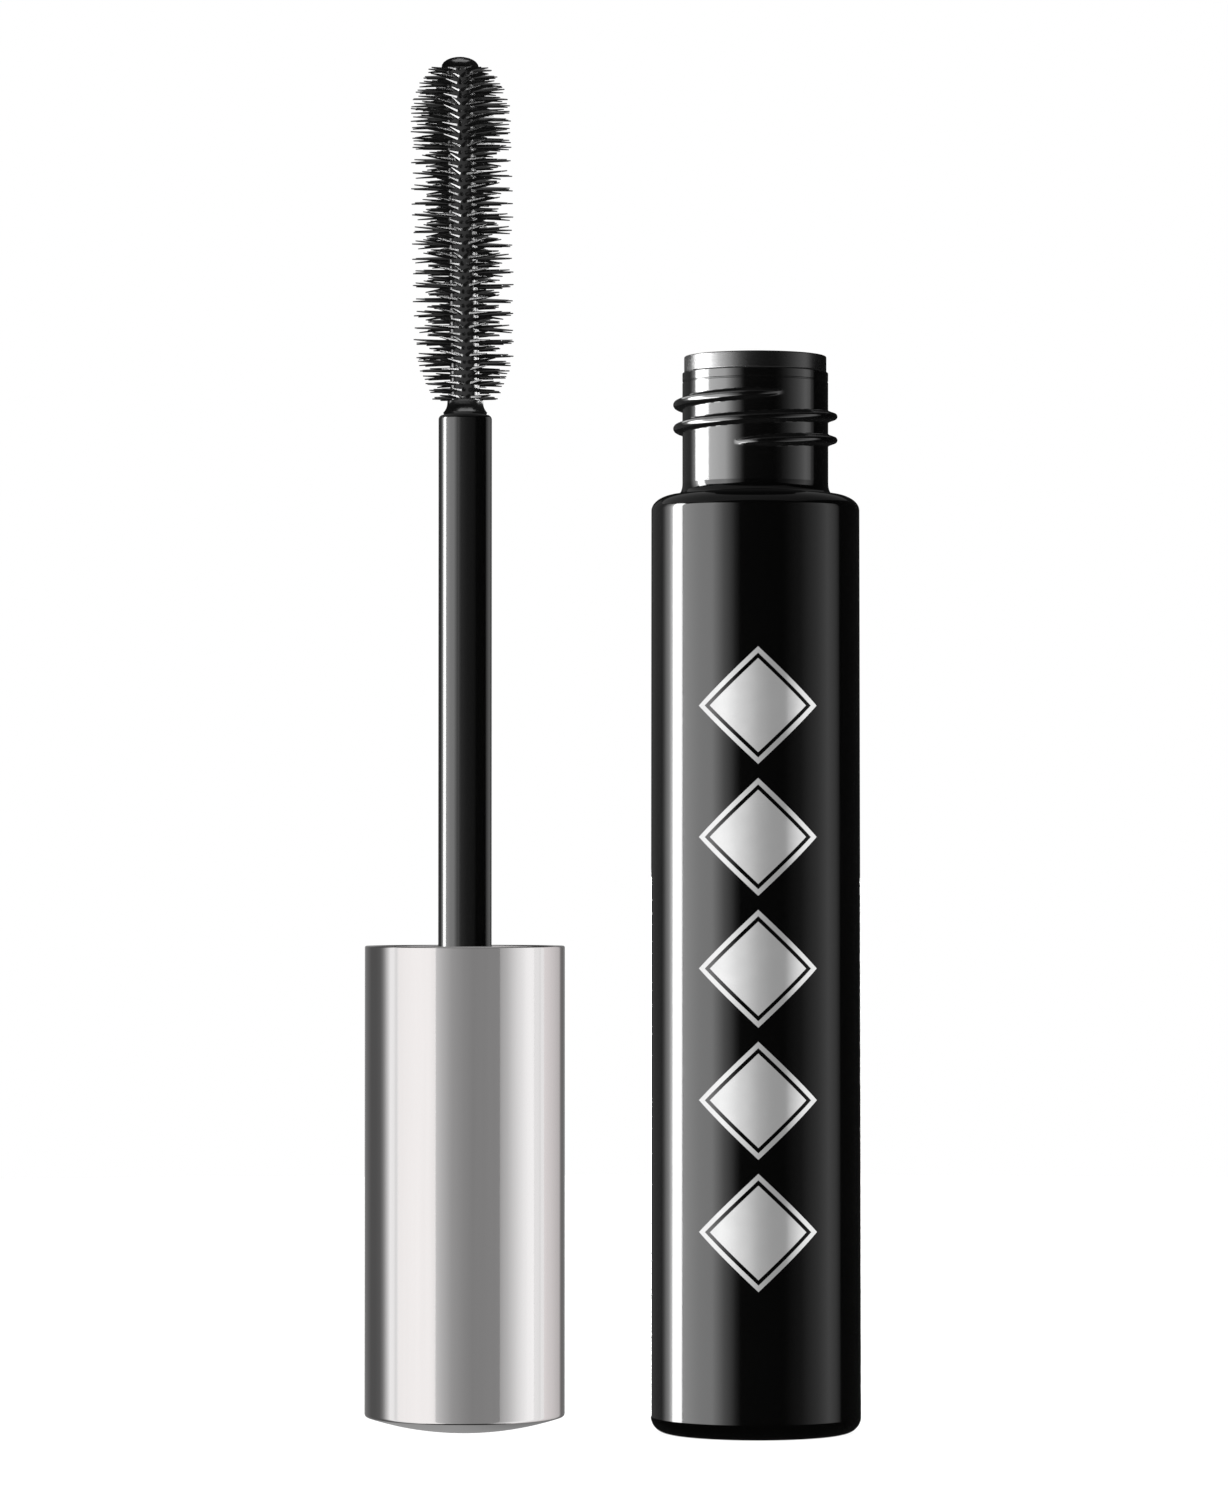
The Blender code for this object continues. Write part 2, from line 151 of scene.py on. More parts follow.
# Wand
CAP_WALL = 0.7
CAP_END = 0.9
DOME_RISE = 1.35
DOME_OVERLAP = 0.05
DOME_EDGE_END = -73
CAP_EDGE_ROUND = 0.3
CAP_LIP_ROUND = 0.15
LINER_INNER = 7.4
LINER_OUTER = 8.0
LINER_TOP = CAP_TOP - 0.5
LINER_END = CAP_TOP - 26.5
WEB_TOP = SEAL_LOW[2] - TOUCH
WEB = 1.5
SOCKET_RADIUS = 2.4
SOCKET_OUTER = 3.85
SOCKET_FLARE = 0.4
LINER_CHAMFER = 0.12
LINER_EDGE = 0.1
INNER_THREAD_LOW = WEB_TOP + 2.2
INNER_THREAD_HIGH = LINER_TOP - 0.4
RIB_COUNT = 4
RIB_HALF_WIDTH = 0.4
RIB_INTO_SOCKET = 0.4
RIB_INTO_LINER = 0.3
RIB_LOW = LINER_END + 1.5
RIB_HIGH = WEB_TOP - 0.9
SEAL_BORE_GAP = 0.1
SEAL_ROUND = 0.12
INNER_THREAD_DEPTH = 0.6
INNER_THREAD_WRAP = 600.0
INNER_THREAD_FIRST_ANGLE = -11.2
INNER_THREAD_FIRST_Z = CAP_TOP - 6.483
ROD_RADIUS = 2.35
ROD_ROUND = 0.4
ROD_FOOT_CHAMFER = 0.25
ROD_BORE_DEPTH = 8.0

# Brush
BRUSH_LENGTH = 29.6
TIP_HEIGHT = 0.9
TIP_RADIUS = 1.65
TIP_ARC_FROM = 72
BRUSH_FOOT_Z = BRUSH_HIGH[2] - TIP_HEIGHT - BRUSH_LENGTH
COLLAR_TOP_RADIUS = 1.58
COLLAR_RADIUS = 1.95
COLLAR_HEIGHT = 1.0
COLLAR_CURVE = 2.5
COLLAR_EDGE = 0.05
COLLAR_INSET = 0.08
SHANK_RADIUS = 1.3
SHANK_LENGTH = 7.9
CORE_RADIUS = 1.3
CORE_MARGIN = 0.1
BRUSH_LEAN = 0.016
# Bristles reach less towards foot and head, and every other ring is shorter from
# SHORT_FROM to SHORT_TO; each is then a little uneven in place, reach and tilt
BRISTLE_RINGS = 48
BRISTLES_IN_RING = 18
BRISTLE_ROOT = 1.15
BRISTLE_REACH = 4.5
BRISTLE_THICK = 0.195
BRISTLE_TIP_SHARE = 0.25
BRISTLE_SIDES = 6
BRISTLE_SPREAD = 0.12
BRISTLE_SHORTEST = 0.96
FOOT_REACH = 2.75
FOOT_TAPER = 5.4
HEAD_REACH = 2.7
HEAD_TAPER = 4.0
SHORT_BY = 0.27
SHORT_FROM = 4.6
SHORT_TO = 22.5
LOOSENESS = 0.07
BRUSH_SEED = 7

# Foil lozenges on the bottle's front
LOZENGE_COUNT = 5
LOZENGE_PITCH = 11.4
LOZENGE_HALF_WIDTH = 5.4
LOZENGE_HALF_HEIGHT = 5.1
LOZENGE_FIRST_Z = 18.0
LOZENGE_MIDDLE = 0.8
LOZENGE_ROWS = 14
LOZENGE_FRAME = (0.89, 0.92, 0.96, 1.0)
FOIL_HEIGHT = 0.035
FOIL_SUNK = 0.06

# Floor
FLOOR_RADIUS = 450.0
FLOOR_SIDES = 96
FLOOR_DROP = 0.01

# Lights and camera, in metres and degrees
LIGHT_DISTANCE = 0.6
LIGHT_LOW = -1.2
LIGHT_HIGH = 0.35
LIGHT_TARGET_Z = 0.06
BRUSH_SPAN = {"low": 0.05, "high": 0.17}
AIR_LIGHT = 0.015
CAMERA_LENS = 136.8
CAMERA_SPOT = (-0.01247, -0.5022, 0.0476)
CAMERA_TILT = 91.407


def arc(centre_r, centre_z, radius, first, last, steps=6, height=None):
    """Points on an arc in the profile's plane, squashed to height; angles in degrees, 90 is up."""
    height = radius if height is None else height
    points = []
    for i in range(steps + 1):
        angle = math.radians(first + (last - first) * i / steps)
        points.append((centre_r + radius * math.cos(angle), centre_z + height * math.sin(angle)))
    return points


def supported(profile, loop):
    """The profile with a point beside each end of a long line, so that rounds shade only themselves."""
    ends = profile[1:] + (profile[:1] if loop else [])
    points = []
    for (r, z), (next_r, next_z) in zip(profile, ends):
        points.append((r, z))
        length = math.hypot(next_r - r, next_z - z)
        if length > 6 * SUPPORT:
            for share in (SUPPORT / length, 1 - SUPPORT / length):
                points.append((r + (next_r - r) * share, z + (next_z - z) * share))
    return points if loop else points + [profile[-1]]


def new_piece(name, points, faces, look):
    """A closed mesh object from points in millimetres, facing out and smooth over its rounds."""
    mesh = bpy.data.meshes.new(name)
    mesh.from_pydata([[value * MM for value in point] for point in points], [], faces)
    shape = bmesh.new()
    shape.from_mesh(mesh)
    bmesh.ops.recalc_face_normals(shape, faces=shape.faces)
    shape.to_mesh(mesh)
    shape.free()
    mesh.shade_smooth()
    mesh.set_sharp_from_angle(angle=math.radians(SHARP_ANGLE))
    mesh.materials.append(look)
    obj = bpy.data.objects.new(name, mesh)
    bpy.context.scene.collection.objects.link(obj)
    return obj


def band(one, two):
    """Faces between two rings of point numbers; a ring shrunk to one point gives triangles."""
    faces = []
    for i in range(len(one)):
        j = (i + 1) % len(one)
        face = list(dict.fromkeys((one[i], one[j], two[j], two[i])))
        if len(face) > 2:
            faces.append(face)
    return faces


def turned(name, profile, look, axis_x=0.0, steps=STEPS, swell=None, loop=False):
    """A turned piece. swell(angle in degrees, r, z) gives the height that stands on the turned face."""
    points, rings, faces = [], [], []
    for r, z in supported(profile, loop):
        if r < 1e-6:
            rings.append([len(points)] * steps)
            points.append((axis_x, 0.0, z))
            continue
        rings.append(range(len(points), len(points) + steps))
        for i in range(steps):
            angle = math.tau * i / steps
            out = r + swell(math.degrees(angle), r, z) if swell else r
            points.append((axis_x + out * math.cos(angle), out * math.sin(angle), z))
    for one, two in zip(rings, rings[1:] + (rings[:1] if loop else [])):
        faces += band(one, two)
    return new_piece(name, points, faces, look)


def thread_height(angle, z, first, wrap, first_z):
    """Share of the full height, 0 to 1, of a right-handed thread at this angle and height."""
    tallest = 0.0
    turn = math.ceil((first - angle) / 360.0)
    while angle + 360.0 * turn <= first + wrap:
        along = angle + 360.0 * turn - first
        off = abs(z - first_z - PITCH * along / 360.0)
        fade = min(1.0, along / THREAD_FADE, (wrap - along) / THREAD_FADE)
        off /= THREAD_END_WIDTH + (1.0 - THREAD_END_WIDTH) * max(0.0, fade)
        side = (off - THREAD_HALF_CREST) / (THREAD_HALF_BASE - THREAD_HALF_CREST)
        side = min(1.0, max(0.0, side))
        crest = 1.0 - THREAD_CROWN * min(1.0, off / THREAD_HALF_CREST) ** 2
        height = crest * (1.0 - side * side * (3.0 - 2.0 * side))
        tallest = max(tallest, height * math.sin(0.5 * math.pi * fade))
        turn += 1
    return tallest


def rows(radius, top, low, gap=THREAD_ROW):
    """Close rows down a straight wall, for a thread to stand on."""
    count = round((top - low) / gap)
    return [(radius, top + (low - top) * i / count) for i in range(count + 1)]


# ---------------------------------------------------------------- materials


def linear(code):
    """Linear colour from an sRGB hex value."""
    channels = [int(code[i:i + 2], 16) / 255 for i in (1, 3, 5)]
    return [c / 12.92 if c <= 0.04045 else ((c + 0.055) / 1.055) ** 2.4 for c in channels] + [1.0]


def add(tree, kind, inputs=(), **settings):
    """Adds a node. Each input is a value, a socket, or a node, which gives its first output."""
    node = tree.nodes.new(kind)
    for name, value in settings.items():
        setattr(node, name, value)
    for key, value in inputs.items() if isinstance(inputs, dict) else enumerate(inputs):
        source = value.outputs[0] if isinstance(value, bpy.types.Node) else value
        if isinstance(source, bpy.types.NodeSocket):
            tree.links.new(source, node.inputs[key])
        elif value is not None:
            node.inputs[key].default_value = value
    return node


def finish_of(name, colours, roughness, tone_size, relief_size, relief_height, metallic=0.0,
              ior=1.5, stretch=(1.0, 1.0, 1.0), detail=3.0, **sockets):
    """A finish whose colour and gloss drift over tone_size, with a relief of relief_size, in mm."""
    look = bpy.data.materials.new(name)
    look.use_nodes = True
    tree = look.node_tree
    shader = tree.nodes["Principled BSDF"]
    shader.inputs["Metallic"].default_value = metallic
    shader.inputs["IOR"].default_value = ior
    for socket, value in sockets.items():
        shader.inputs[socket.replace("_", " ").title()].default_value = value
    place = add(tree, "ShaderNodeTexCoord")
    grid = add(tree, "ShaderNodeMapping", {"Vector": place.outputs["Object"], "Scale": stretch})
    tone = add(tree, "ShaderNodeTexNoise", {
        "Vector": grid, "Scale": 1 / (tone_size * MM), "Detail": detail})
    tint = add(tree, "ShaderNodeMix", {0: tone, 6: linear(colours[0]), 7: linear(colours[1])},
               data_type="RGBA")
    gloss = add(tree, "ShaderNodeMapRange", {"Value": tone, "From Min": 0.3, "From Max": 0.7,
                "To Min": roughness[0], "To Max": roughness[1]})
    grain = add(tree, "ShaderNodeTexNoise", {
        "Vector": grid, "Scale": 1 / (relief_size * MM), "Detail": detail})
    relief = add(tree, "ShaderNodeBump", {
        "Height": grain, "Distance": relief_height * MM, "Strength": 1.0})
    tree.links.new(tint.outputs[2], shader.inputs["Base Color"])
    tree.links.new(gloss.outputs[0], shader.inputs["Roughness"])
    tree.links.new(relief.outputs[0], shader.inputs["Normal"])
    look.diffuse_color = linear(colours[0])
    return look


# Injection-moulded black plastic from a polished mould: deep black under sharp, very slightly wavy
# reflections, as the skin follows the melt's flow over a few millimetres.
moulded_gloss_black = finish_of(
    "moulded_gloss_black", ("#030303", "#050505"), (0.07, 0.1), 9.0, 3.0, 0.0015)

# The same black on the thin rod, where faint draw lines run along it and soften the reflections.
drawn_gloss_black = finish_of(
    "drawn_gloss_black", ("#050505", "#090909"), (0.08, 0.11), 4.0, 1.2, 0.0015, stretch=(1.0, 1.0, 0.12))

# Polyethylene wiper: waxy satin black, a little greyer than the bottle, with a fine mould texture.
satin_polyethylene = finish_of(
    "satin_polyethylene", ("#090909", "#101010"), (0.22, 0.3), 2.0, 0.35, 0.001, ior=1.51)

# Aluminium tube, polished and clear-anodised: a bright, nearly neutral mirror with hairlines along
# the tube, drawn about three times as coarse as real ones so that they show.
polished_aluminium = finish_of(
    "polished_aluminium", ("#E9E7E7", "#E2E0E0"), (0.05, 0.085), 0.5, 0.3, 0.00035,
    metallic=1.0, stretch=(1.0, 1.0, 0.02))

# Hot-stamped silver foil: a thin metal film that follows the plastic's grain, so its mirror is
# broken into a fine crinkle and looks whiter and softer than the cap.
stamped_silver_foil = finish_of(
    "stamped_silver_foil", ("#E4E4E4", "#D8D8D8"), (0.13, 0.19), 1.2, 0.16, 0.0009, metallic=1.0)

# Moulded elastomer of the brush: black, half matt, with a soft sheen on each bristle.
brush_elastomer = finish_of("brush_elastomer", ("#0A0A0A", "#131313"), (0.16, 0.24), 0.8, 0.2, 0.014)

# Mascara: a heavy black wax emulsion, wet and lumpy where the brush has stirred it.
wet_mascara = finish_of("wet_mascara", ("#060505", "#0C0A0A"), (0.14, 0.32), 1.5, 0.9, 0.09, ior=1.45)

# Natural polypropylene liner: milky white that lets a little light through, with faint flow marks.
natural_polypropylene = finish_of(
    "natural_polypropylene", ("#DCDCD6", "#D0D0CA"), (0.34, 0.46), 3.0, 0.5, 0.004, ior=1.49,
    subsurface_weight=0.15, subsurface_scale=0.002)

# Seal disc cut from expanded polyethylene sheet: matt white, with closed cells of about 0.2 mm.
expanded_polyethylene = finish_of(
    "expanded_polyethylene", ("#E2E2DD", "#CFCFC9"), (0.6, 0.75), 0.25, 0.2, 0.03, detail=1.0)

# Studio floor: matt pale paper board with a hardly visible tooth.
studio_board = finish_of("studio_board", ("#F4F4F4", "#F2F2F2"), (0.85, 0.9), 30.0, 1.0, 0.002)


# ---------------------------------------------------------------- geometry node trees


def new_tree(name, inputs):
    """An empty tree with a geometry output and these named inputs; returns it with its input node."""
    tree = bpy.data.node_groups.new(name, "GeometryNodeTree")
    for socket_name, kind in inputs:
        tree.interface.new_socket(socket_name, in_out="INPUT", socket_type="NodeSocket" + kind)
    tree.interface.new_socket("Piece", in_out="OUTPUT", socket_type="NodeSocketGeometry")
    return tree, add(tree, "NodeGroupInput").outputs


def run_tree(obj, tree, values):
    """Runs the tree on the object with these inputs and leaves it the plain mesh that comes out."""
    modifier = obj.modifiers.new(tree.name, "NODES")
    modifier.node_group = tree
    for item in tree.interface.items_tree:
        if item.in_out == "INPUT" and item.name in values:
            modifier[item.identifier] = values[item.name]
    graph = bpy.context.evaluated_depsgraph_get()
    mesh = bpy.data.meshes.new_from_object(obj.evaluated_get(graph), depsgraph=graph)
    obj.modifiers.clear()
    mesh.shade_smooth()
    mesh.set_sharp_from_angle(angle=math.radians(SHARP_ANGLE))
    obj.data = mesh


def copies_tree():
    """Copies of a piece, each turned and raised a step from the last."""
    tree, given = new_tree("copies_in_steps", (
        ("Piece", "Geometry"), ("Count", "Int"), ("Rise", "Float"), ("Turn", "Float"),
        ("Axis X", "Float"), ("Material", "Material")))
    index = add(tree, "GeometryNodeInputIndex")
    height = add(tree, "ShaderNodeMath", (index, given["Rise"]), operation="MULTIPLY")
    angle = add(tree, "ShaderNodeMath", (index, given["Turn"]), operation="MULTIPLY")
    place = add(tree, "ShaderNodeCombineXYZ", (given["Axis X"], 0.0, height))
    facing = add(tree, "ShaderNodeCombineXYZ", (0.0, 0.0, angle))
    points = add(tree, "GeometryNodePoints", (given["Count"], place))
    copies = add(tree, "GeometryNodeInstanceOnPoints",
                 {"Points": points, "Instance": given["Piece"], "Rotation": facing})
    solid = add(tree, "GeometryNodeRealizeInstances", (copies,))
    finished = add(tree, "GeometryNodeSetMaterial", {"Geometry": solid, "Material": given["Material"]})
    add(tree, "NodeGroupOutput", (finished,))
    return tree


def bristle_tree():
    """Rings of tapered bristles on a core: staggered, with every other ring short in the middle."""
    tree, given = new_tree("moulded_bristles", (
        ("Core", "Geometry"), ("Rings", "Int"), ("In A Ring", "Int"), ("Foot Z", "Float"),
        ("Length", "Float"), ("Axis X", "Float"), ("Root Radius", "Float"), ("Reach", "Float"),
        ("Foot Reach", "Float"), ("Foot Taper", "Float"), ("Head Reach", "Float"),
        ("Head Taper", "Float"), ("Short By", "Float"), ("Short From", "Float"),
        ("Short To", "Float"), ("Thickness", "Float"), ("Looseness", "Float"), ("Seed", "Int"),
        ("Material", "Material")))
    index = add(tree, "GeometryNodeInputIndex")
    ring = add(tree, "ShaderNodeMath", (index, given["In A Ring"]), operation="DIVIDE")
    ring = add(tree, "ShaderNodeMath", (ring,), operation="FLOOR")
    odd = add(tree, "ShaderNodeMath", (ring, 2.0), operation="MODULO")
    around = add(tree, "ShaderNodeMath", (odd, 0.5, index), operation="MULTIPLY_ADD")
    turn = add(tree, "ShaderNodeMath", (math.tau, given["In A Ring"]), operation="DIVIDE")
    spread = add(tree, "FunctionNodeRandomValue", {
        2: -BRISTLE_SPREAD, 3: BRISTLE_SPREAD, "Seed": given["Seed"]}, data_type="FLOAT")
    around = add(tree, "ShaderNodeMath", (around, spread.outputs[1]), operation="ADD")
    angle = add(tree, "ShaderNodeMath", (around, turn), operation="MULTIPLY")
    cosine = add(tree, "ShaderNodeMath", (angle,), operation="COSINE")
    sine = add(tree, "ShaderNodeMath", (angle,), operation="SINE")
    pitch = add(tree, "ShaderNodeMath", (given["Length"], given["Rings"]), operation="DIVIDE")
    middle = add(tree, "ShaderNodeMath", (ring, 0.5), operation="ADD")
    along = add(tree, "ShaderNodeMath", (middle, pitch), operation="MULTIPLY")
    from_head = add(tree, "ShaderNodeMath", (given["Length"], along), operation="SUBTRACT")
    reaches = []
    for distance, end in ((along, "Foot"), (from_head, "Head")):
        share = add(tree, "ShaderNodeMath", (distance, given[end + " Taper"]), operation="DIVIDE")
        share = add(tree, "ShaderNodeMath", (share, 1.0), operation="MINIMUM")
        share = add(tree, "ShaderNodeMath", (share, 0.5 * math.pi), operation="MULTIPLY")
        share = add(tree, "ShaderNodeMath", (share,), operation="SINE")
        gain = add(tree, "ShaderNodeMath", (given["Reach"], given[end + " Reach"]), operation="SUBTRACT")
        reaches.append(add(tree, "ShaderNodeMath", (share, gain, given[end + " Reach"]),
                           operation="MULTIPLY_ADD"))
    envelope = add(tree, "ShaderNodeMath", reaches, operation="MINIMUM")
    above = add(tree, "ShaderNodeMath", (along, given["Short From"]), operation="GREATER_THAN")
    below = add(tree, "ShaderNodeMath", (along, given["Short To"]), operation="LESS_THAN")
    short = add(tree, "ShaderNodeMath", (above, below), operation="MULTIPLY")
    short = add(tree, "ShaderNodeMath", (short, odd), operation="MULTIPLY")
    uneven = add(tree, "FunctionNodeRandomValue", {
        2: BRISTLE_SHORTEST, 3: 1.0, "Seed": given["Seed"]}, data_type="FLOAT")
    keep = add(tree, "ShaderNodeMath", (short, given["Short By"]), operation="MULTIPLY")
    keep = add(tree, "ShaderNodeMath", (uneven.outputs[1], keep), operation="SUBTRACT")
    reach = add(tree, "ShaderNodeMath", (envelope, keep), operation="MULTIPLY")
    length = add(tree, "ShaderNodeMath", (reach, given["Root Radius"]), operation="SUBTRACT")
    tilt_seed = add(tree, "ShaderNodeMath", (given["Seed"], 1.0), operation="ADD")
    low = add(tree, "ShaderNodeMath", (given["Looseness"], -1.0), operation="MULTIPLY")
    tilt = add(tree, "FunctionNodeRandomValue", {2: low, 3: given["Looseness"], "Seed": tilt_seed},
               data_type="FLOAT")
    out = add(tree, "ShaderNodeCombineXYZ", (cosine, sine, tilt.outputs[1]))
    facing = add(tree, "FunctionNodeAlignRotationToVector", {"Vector": out}, axis="Z")
    root_x = add(tree, "ShaderNodeMath", (cosine, given["Root Radius"], given["Axis X"]),
                 operation="MULTIPLY_ADD")
    root_y = add(tree, "ShaderNodeMath", (sine, given["Root Radius"]), operation="MULTIPLY")
    root_z = add(tree, "ShaderNodeMath", (along, given["Foot Z"]), operation="ADD")
    root = add(tree, "ShaderNodeCombineXYZ", (root_x, root_y, root_z))
    count = add(tree, "ShaderNodeMath", (given["Rings"], given["In A Ring"]), operation="MULTIPLY")
    points = add(tree, "GeometryNodePoints", (count, root))
    cone = add(tree, "GeometryNodeMeshCone", {
        "Vertices": BRISTLE_SIDES, "Side Segments": 1, "Radius Top": BRISTLE_TIP_SHARE,
        "Radius Bottom": 1.0, "Depth": 1.0})
    size = add(tree, "ShaderNodeCombineXYZ", (given["Thickness"], given["Thickness"], length))
    bristles = add(tree, "GeometryNodeInstanceOnPoints",
                   {"Points": points, "Instance": cone, "Rotation": facing, "Scale": size})
    bristles = add(tree, "GeometryNodeRealizeInstances", (bristles,))
    joined = add(tree, "GeometryNodeJoinGeometry", (bristles,))
    tree.links.new(given["Core"], joined.inputs[0])
    finished = add(tree, "GeometryNodeSetMaterial", {"Geometry": joined, "Material": given["Material"]})
    add(tree, "NodeGroupOutput", (finished,))
    return tree


# ---------------------------------------------------------------- the bottle and what is in it


def neck_thread(angle, r, z):
    """Height of the thread on the neck's outside."""
    threaded = THREADED_FROM + THREAD_MARGIN < z < RIM_LINE_TOP - 2 * RIM_LINE_HEIGHT
    if abs(r - NECK_RADIUS) > 1e-6 or not threaded:
        return 0.0
    return THREAD_HEIGHT * thread_height(angle, z, THREAD_FIRST_ANGLE, THREAD_WRAP, THREAD_FIRST_Z)


def make_bottle_body():
    """The body up to the neck's root, with a tongue that runs on up inside the neck."""
    top_r = BOTTLE_RADIUS - BODY_DRAFT
    inner_top = BODY_TOP - SHOULDER_THICK
    profile = [(0.0, FLOOR_THICK)]
    profile += arc(BODY_INNER - INNER_ROUND, FLOOR_THICK + INNER_ROUND, INNER_ROUND, -90, 0)
    profile += [(BODY_INNER, inner_top - BODY_INNER + NECK_BORE), (NECK_BORE, inner_top)]
    tongue_r, tongue_top = NECK_RADIUS - NECK_TONGUE_INSET, NECK_ROOT_Z + NECK_TONGUE
    profile += [(NECK_BORE, tongue_top), (tongue_r, tongue_top), (tongue_r, NECK_ROOT_Z)]
    profile += arc(NECK_RADIUS + NECK_FLARE, NECK_ROOT_Z, NECK_FLARE, 180, 270, 8, NECK_FILLET)
    profile += arc(top_r - SHOULDER_REACH, SHOULDER_TOP - SHOULDER_ROUND, SHOULDER_REACH, 90, 0, 14,
                   SHOULDER_ROUND)
    profile += [(BOTTLE_RADIUS, BASE_ROUND), (0.0, BASE_ROUND)]
    return turned("bottle_body", profile, moulded_gloss_black, steps=STEPS_LARGE)


def make_bottle_foot():
    """The rounded foot under the body, pushed up in the middle, with the mould's gate mark."""
    profile = [(0.0, BASE_ROUND)]
    profile += arc(BOTTLE_RADIUS - BASE_ROUND, BASE_ROUND, BASE_ROUND, 0, -90, 10)
    profile += arc(PUSH_UP_RADIUS + PUSH_UP, 0.5 * PUSH_UP, 0.5 * PUSH_UP, 270, 180, 3)
    profile += [(PUSH_UP_RADIUS, PUSH_UP), (GATE_RADIUS, PUSH_UP), (GATE_RADIUS - GATE_SLOPE, GATE_Z)]
    profile += [(0.0, GATE_Z)]
    return turned("bottle_foot", profile, moulded_gloss_black, steps=STEPS_LARGE)


def make_bottle_neck():
    """The neck with its thread, and the fine groove round it under the mouth."""
    line = RIM_LINE_TOP
    profile = [(NECK_BORE, MOUTH_Z)]
    profile += arc(NECK_RADIUS - RIM_ROUND, MOUTH_Z - RIM_ROUND, RIM_ROUND, 90, 0, 3)
    profile += [(NECK_RADIUS, line), (NECK_RADIUS - RIM_LINE_DEPTH, line - 0.3 * RIM_LINE_HEIGHT)]
    profile += [(NECK_RADIUS - RIM_LINE_DEPTH, line - 0.7 * RIM_LINE_HEIGHT)]
    profile += rows(NECK_RADIUS, line - RIM_LINE_HEIGHT, THREADED_FROM)
    profile += [(NECK_RADIUS, NECK_ROOT_Z), (NECK_BORE, NECK_ROOT_Z)]
    return turned("bottle_neck", profile, moulded_gloss_black, steps=STEPS_LARGE,
                  swell=neck_thread, loop=True)


def make_wiper():
    """The wiper in the neck: flange, rounded entry, sleeve and the funnel down to its lip."""
    rim = MOUTH_Z + TOUCH + FLANGE_DEPTH
    lip_end = MOUTH_Z - WIPER_DROP
    sleeve_end = MOUTH_Z - WIPER_SLEEVE
    entry = FLANGE_DEPTH * 0.5
    profile = arc(FLANGE_RADIUS - FLANGE_ROUND, rim - FLANGE_ROUND, FLANGE_ROUND, 90, 0, 5)
    profile += arc(FLANGE_RADIUS - FLANGE_UNDER_ROUND, MOUTH_Z + TOUCH + FLANGE_UNDER_ROUND,
                   FLANGE_UNDER_ROUND, 0, -90, 3)
    profile += [(WIPER_OUTER, MOUTH_Z + TOUCH), (WIPER_OUTER, sleeve_end)]
    profile += [(LIP_OUTER, lip_end + LIP_OUTER_HEIGHT), (LIP_OUTER, lip_end + LIP_EDGE)]
    profile += [(LIP_OUTER - LIP_EDGE, lip_end), (LIP_INNER + LIP_EDGE, lip_end)]
    profile += [(LIP_INNER, lip_end + LIP_EDGE), (LIP_INNER, lip_end + LIP_INNER_HEIGHT)]
    profile += [(WIPER_INNER, sleeve_end + FUNNEL_RISE)]
    profile += arc(WIPER_INNER + entry, rim - entry, entry, 180, 90, 8)
    return turned("wiper_insert", profile, satin_polyethylene, loop=True)


def stirred(angle, r, z):
    """Soft lumps on the fill's top, left by the brush."""
    if z < PASTE_HIGH[2] - LUMP_DEPTH or r > PASTE_HIGH[0] - LUMP_MARGIN:
        return 0.0
    turn = math.radians(angle)
    return COARSE_LUMP * math.sin(3 * turn + 1.1 * z) + FINE_LUMP * math.sin(7 * turn - 2.3 * r)


def make_paste():
    """The fill, from the bottle's floor up, round the channel that the brush leaves."""
    outer = 0.5 * (PASTE_HIGH[0] - PASTE_LOW[0])
    top = PASTE_HIGH[2]
    channel_floor = FLOOR_THICK + CHANNEL_DEPTH
    lip_z = top - CHANNEL_LIP - FILL_EDGE
    profile = [(0.0, channel_floor), (CHANNEL_RADIUS - CHANNEL_ROUND, channel_floor)]
    profile += arc(CHANNEL_RADIUS - CHANNEL_ROUND, channel_floor + CHANNEL_ROUND, CHANNEL_ROUND,
                   -90, 0, 5)[1:]
    profile += [(CHANNEL_RADIUS, lip_z - CHANNEL_EDGE)]
    profile += arc(CHANNEL_RADIUS + CHANNEL_LIP, lip_z, CHANNEL_LIP, 180, 90, 6)
    profile += [(outer - FILL_EDGE, top - FILL_EDGE_DROP), (outer, top)]
    profile += arc(outer - INNER_ROUND, PASTE_LOW[2] + INNER_ROUND, INNER_ROUND, 0, -90)
    profile += [(0.0, PASTE_LOW[2])]
    return turned("mascara_fill", profile, wet_mascara, steps=STEPS_SMALL, swell=stirred)


def on_bottle(across, z, height):
    """A point on the bottle's front, at this distance round from the middle, and height off its wall."""
    share = (z - BASE_ROUND) / (SHOULDER_TOP - SHOULDER_ROUND - BASE_ROUND)
    r = BOTTLE_RADIUS - BODY_DRAFT * share + height
    angle = across / BOTTLE_RADIUS
    return (r * math.sin(angle), -r * math.cos(angle), z)


